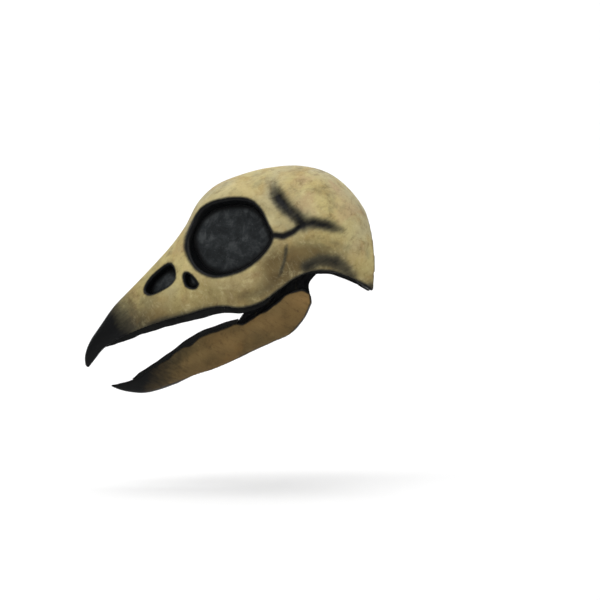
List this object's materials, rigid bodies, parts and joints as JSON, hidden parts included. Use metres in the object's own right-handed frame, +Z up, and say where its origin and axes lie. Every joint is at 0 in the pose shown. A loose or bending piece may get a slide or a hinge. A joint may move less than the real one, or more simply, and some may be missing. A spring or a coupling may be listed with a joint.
{
  "type": "bird skull mask",
  "caption": "Full-head bird-skull mask with a drooping beak, recessed mesh eye sockets and a lower jaw that swings on two pivots with stretch cheek gussets.",
  "frame": {"origin": "centre of the wearer's head", "axes": "+X to the wearer's left, +Y to the back of the head (the beak points towards -Y), +Z up"},
  "size_m": [0.1982, 0.404, 0.3186],
  "materials": {
    "bone": "painted aged bone, airbrushed black",
    "jaw_bone": "painted dark bone, airbrushed black",
    "lining": "black lining",
    "mesh": "woven see-through mesh",
    "gusset": "stretch fabric",
    "foam": "fabric-faced foam",
    "webbing": "woven elastic",
    "slide": "moulded",
    "steel": "zinc plated",
    "nylon": "moulded nylon",
    "resin": "cast resin"
  },
  "bodies": {
    "skull": {"skull_shell": "bone", "palate_lining": "lining", "left_lip_lining": "lining", "right_lip_lining": "lining", "left_eye_mesh": "mesh", "right_eye_mesh": "mesh", "left_nostril_mesh": "mesh", "right_nostril_mesh": "mesh", "left_fenestra_mesh": "mesh", "right_fenestra_mesh": "mesh", "left_cheek_gusset": "gusset", "right_cheek_gusset": "gusset", "left_hinge_block": "resin", "right_hinge_block": "resin", "left_hinge_plate": "steel", "right_hinge_plate": "steel", "hinge_plate_screws": "steel", "left_pivot_screw": "steel", "right_pivot_screw": "steel", "left_pivot_washer": "nylon", "right_pivot_washer": "nylon", "brow_pad": "foam", "crown_pad": "foam", "left_temple_pad": "foam", "right_temple_pad": "foam", "left_upper_anchor": "resin", "right_upper_anchor": "resin", "left_lower_anchor": "resin", "right_lower_anchor": "resin", "upper_strap": "webbing", "lower_strap": "webbing", "upper_strap_screws": "steel", "lower_strap_screws": "steel"},
    "jaw": {"jaw_shell": "jaw_bone", "jaw_lining": "lining", "left_arm_block": "resin", "right_arm_block": "resin", "left_jaw_arm": "steel", "right_jaw_arm": "steel", "jaw_arm_screws": "steel", "left_chin_anchor": "resin", "right_chin_anchor": "resin", "chin_strap": "webbing", "chin_pad": "foam", "chin_strap_screws": "steel"},
    "upper_slide": {"upper_strap_slide": "slide"},
    "lower_slide": {"lower_strap_slide": "slide"}
  },
  "joints": [
    {"name": "jaw_hinge", "type": "hinge", "parent": "skull", "child": "jaw", "pos_m": [0, 0.008, -0.014], "axis": [1, 0, 0], "range_deg": [-5, 14], "stiffness_Nm_per_rad": 0.6, "springref_deg": -5.73, "deforming": ["left_cheek_gusset", "right_cheek_gusset"]},
    {"name": "upper_strap_adjust", "type": "slide", "parent": "skull", "child": "upper_slide", "axis": [1, 0, 0], "range_m": [-0.02, 0.02]},
    {"name": "lower_strap_adjust", "type": "slide", "parent": "skull", "child": "lower_slide", "axis": [1, 0, 0], "range_m": [-0.02, 0.02]}
  ]
}
